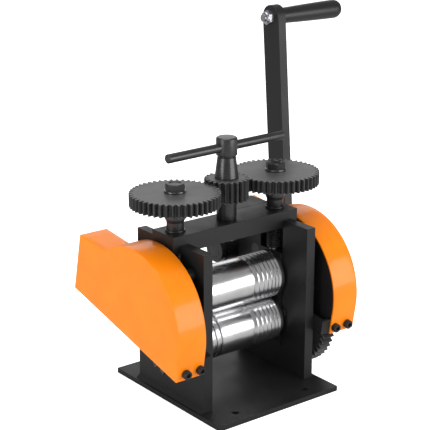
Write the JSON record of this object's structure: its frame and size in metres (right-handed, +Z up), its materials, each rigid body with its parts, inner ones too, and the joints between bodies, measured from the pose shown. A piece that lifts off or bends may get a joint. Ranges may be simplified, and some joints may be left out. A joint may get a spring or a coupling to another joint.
{
  "type": "jewellers rolling mill",
  "caption": "Hand cranked bench mill with two polished rolls in a plate frame, gears under side covers, and a geared screw adjuster with a cross bar on top.",
  "frame": {"origin": "centre of the base plate's underside, midway between its bolt holes", "axes": "+X along the rolls towards the crank, +Y to the rear, +Z up"},
  "size_m": [0.3172, 0.1828, 0.3449],
  "materials": {
    "black_coat": "satin black powder coat",
    "orange_coat": "glossy orange powder coat with a fine texture",
    "black_gear": "machined steel, black oxide",
    "black_oxide": "turned steel, black oxide, satin",
    "polished_steel": "hardened steel, ground and mirror polished",
    "ground_steel": "ground steel",
    "zinc": "bright zinc plated steel",
    "bronze": "turned bronze",
    "grip_plastic": "black moulded plastic, satin gloss"
  },
  "bodies": {
    "mill_frame": {"base_plate": "black_coat", "left_cheek": "black_coat", "right_cheek": "black_coat", "top_beam": "black_coat", "rear_shelf": "black_coat", "lower_left_block": "black_coat", "lower_right_block": "black_coat", "lower_bushes": "bronze", "block_keepers": "black_oxide", "lift_springs": "zinc", "dust_rings": "black_oxide", "spindle_bush": "bronze", "left_back_plate": "black_coat", "right_back_plate": "black_coat", "plate_spacers": "black_coat", "plate_screws": "black_oxide", "cover_brackets": "black_coat", "left_cover": "orange_coat", "right_cover": "orange_coat", "cover_screws": "black_oxide", "crank_bracket": "black_coat", "bracket_screws": "black_oxide", "crank_bush": "bronze", "cluster_stud": "black_oxide", "stud_clip": "zinc"},
    "upper_carriage": {"upper_left_block": "black_coat", "upper_right_block": "black_coat", "upper_bushes": "bronze", "thrust_pads": "ground_steel"},
    "left_screw": {"left_pressing_screw": "black_oxide", "left_screw_gear": "black_gear", "left_gear_washer": "black_oxide", "left_gear_bolt": "black_oxide"},
    "right_screw": {"right_pressing_screw": "black_oxide", "right_screw_gear": "black_gear", "right_gear_washer": "black_oxide", "right_gear_bolt": "black_oxide"},
    "upper_roll": {"upper_roll": "polished_steel", "upper_roll_gear": "black_gear", "upper_key": "zinc", "upper_end_screws": "black_oxide"},
    "lower_roll": {"lower_roll": "polished_steel", "lower_roll_gear": "black_gear", "drive_gear": "black_gear", "lower_keys": "zinc", "lower_end_screws": "black_oxide"},
    "cluster": {"cluster_gear": "black_gear", "cluster_bush": "bronze"},
    "crank": {"crank_shaft": "black_oxide", "crank_pinion": "black_gear", "crank_collar": "black_oxide", "crank_arm": "black_coat", "crank_end_screw": "black_oxide", "grip_bolt": "ground_steel", "grip_nut": "zinc"},
    "grip": {"grip": "grip_plastic"},
    "t_handle": {"spindle": "black_oxide", "spindle_pinion": "black_gear", "cross_bar": "black_oxide", "spindle_clip": "zinc"}
  },
  "joints": [
    {"name": "t_handle_turn", "type": "hinge", "parent": "mill_frame", "child": "t_handle", "pos_m": [0, 0, 0.1671], "axis": [0, 0, -1], "range_deg": [0, 1881.8]},
    {"name": "roll_lift", "type": "slide", "parent": "mill_frame", "child": "upper_carriage", "axis": [0, 0, 1], "range_m": [0, 0.005], "deforming": ["lift_springs"]},
    {"name": "left_screw_turn", "type": "hinge", "parent": "upper_carriage", "child": "left_screw", "pos_m": [-0.0595, 0, 0.1671], "axis": [0, 0, 1], "range_deg": [0, 900]},
    {"name": "right_screw_turn", "type": "hinge", "parent": "upper_carriage", "child": "right_screw", "pos_m": [0.0595, 0, 0.1671], "axis": [0, 0, 1], "range_deg": [0, 900]},
    {"name": "lower_roll_turn", "type": "hinge", "parent": "mill_frame", "child": "lower_roll", "pos_m": [0, 0, 0.055], "axis": [1, 0, 0], "continuous": true},
    {"name": "upper_roll_turn", "type": "hinge", "parent": "upper_carriage", "child": "upper_roll", "pos_m": [0, 0, 0.101], "axis": [1, 0, 0], "continuous": true},
    {"name": "cluster_turn", "type": "hinge", "parent": "mill_frame", "child": "cluster", "pos_m": [0.09, 0.02483, 0.1183], "axis": [1, 0, 0], "continuous": true},
    {"name": "crank_turn", "type": "hinge", "parent": "mill_frame", "child": "crank", "pos_m": [0.09, 0.066, 0.11], "axis": [1, 0, 0], "continuous": true},
    {"name": "grip_spin", "type": "hinge", "parent": "crank", "child": "grip", "pos_m": [0.17, 0.08382, 0.33289], "axis": [1, 0, 0], "continuous": true}
  ],
  "couplings": [
    {"joint": "t_handle_turn", "follows": "roll_lift", "rad_per_m": 6568.7},
    {"joint": "left_screw_turn", "follows": "roll_lift", "rad_per_m": 3141.6},
    {"joint": "right_screw_turn", "follows": "roll_lift", "rad_per_m": 3141.6},
    {"joint": "upper_roll_turn", "follows": "lower_roll_turn", "ratio": -1},
    {"joint": "cluster_turn", "follows": "lower_roll_turn", "ratio": -3},
    {"joint": "crank_turn", "follows": "lower_roll_turn", "ratio": 6}
  ]
}
